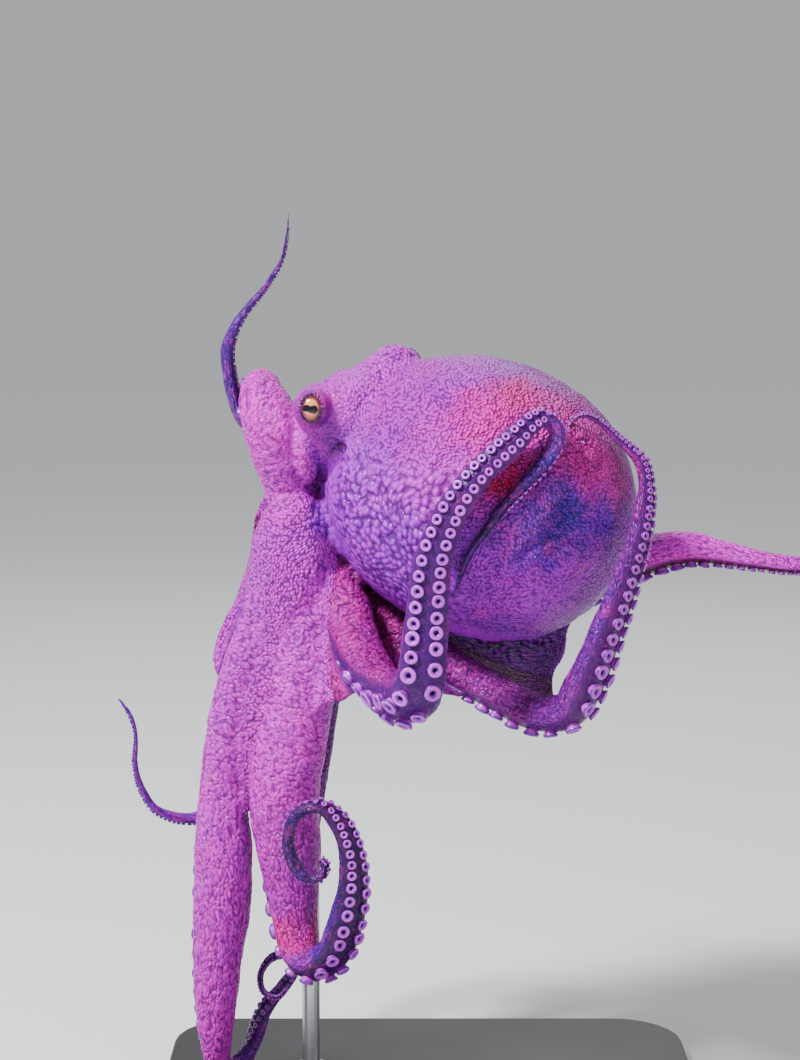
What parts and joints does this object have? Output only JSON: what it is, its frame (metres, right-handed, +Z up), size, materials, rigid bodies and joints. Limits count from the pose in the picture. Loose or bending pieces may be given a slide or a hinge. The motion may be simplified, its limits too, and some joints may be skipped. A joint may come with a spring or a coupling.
{
  "type": "octopus",
  "caption": "Life-size still model of a common octopus hanging in mid water, with curling arms and web between them, on a plain display stand.",
  "frame": {"origin": "middle of the underside of the stand's base", "axes": "+Z up; the animal's left eye looks towards -Y, and its mantle lies towards +X"},
  "size_m": [0.5486, 0.26, 0.5982],
  "materials": {
    "skin": "wet soft skin with small warts and a net of fine grooves, pink with purple",
    "pale_skin": "wet smooth pale skin",
    "web_skin": "wet thin dark skin",
    "eyeball": "clear and glossy over a pale gold iris with a black slit",
    "stand_board": "black satin lacquer",
    "stand_steel": "brushed"
  },
  "bodies": {
    "root": {"arm_centre_base": "skin", "arm_centre_middle": "skin", "arm_centre_tip": "skin", "arm_front_base": "skin", "arm_front_middle": "skin", "arm_front_tip": "skin", "arm_left_base": "skin", "arm_left_middle": "skin", "arm_left_tip": "skin", "arm_rear_base": "skin", "arm_rear_left_base": "skin", "arm_rear_left_middle": "skin", "arm_rear_left_tip": "skin", "arm_rear_middle": "skin", "arm_rear_right_base": "skin", "arm_rear_right_middle": "skin", "arm_rear_right_tip": "skin", "arm_rear_tip": "skin", "arm_right_base": "skin", "arm_right_middle": "skin", "arm_right_tip": "skin", "arm_up_base": "skin", "arm_up_middle": "skin", "arm_up_tip": "skin", "crown": "skin", "eye_left": "eyeball", "eye_right": "eyeball", "head": "skin", "mantle": "skin", "siphon": "pale_skin", "stand_base": "stand_board", "stand_collar": "stand_steel", "stand_rod": "stand_steel", "web_centre_to_right": "web_skin", "web_front_to_centre": "web_skin", "web_left_to_front": "web_skin", "web_rear_left_to_up": "web_skin", "web_rear_right_to_rear": "web_skin", "web_rear_to_rear_left": "web_skin", "web_right_to_rear_right": "web_skin", "web_up_to_left": "web_skin"}
  },
  "joints": []
}
